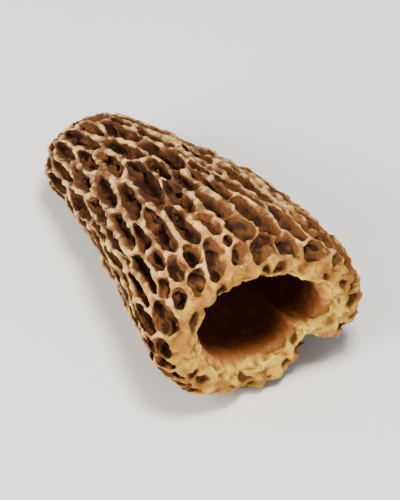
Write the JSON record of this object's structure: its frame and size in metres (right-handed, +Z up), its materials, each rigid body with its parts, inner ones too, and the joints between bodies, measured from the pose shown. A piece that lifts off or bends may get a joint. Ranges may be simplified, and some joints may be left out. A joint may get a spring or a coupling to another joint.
{
  "type": "morel mushroom",
  "caption": "Dried morel mushroom lying on its side, hollow and open where the stem was cut off, with a raised net of ridges round deep pits.",
  "frame": {"origin": "middle of the bounding box, on the surface that the morel lies on", "axes": "+X from the rounded tip towards the cut mouth, +Y across, +Z up"},
  "size_m": [0.0476, 0.0284, 0.0212],
  "materials": {
    "dried_morel_flesh": "matt, dry and leathery; tan ridge crests, dark brown pits, cream cut rim"
  },
  "bodies": {
    "root": {"morel": "dried_morel_flesh"}
  },
  "joints": []
}
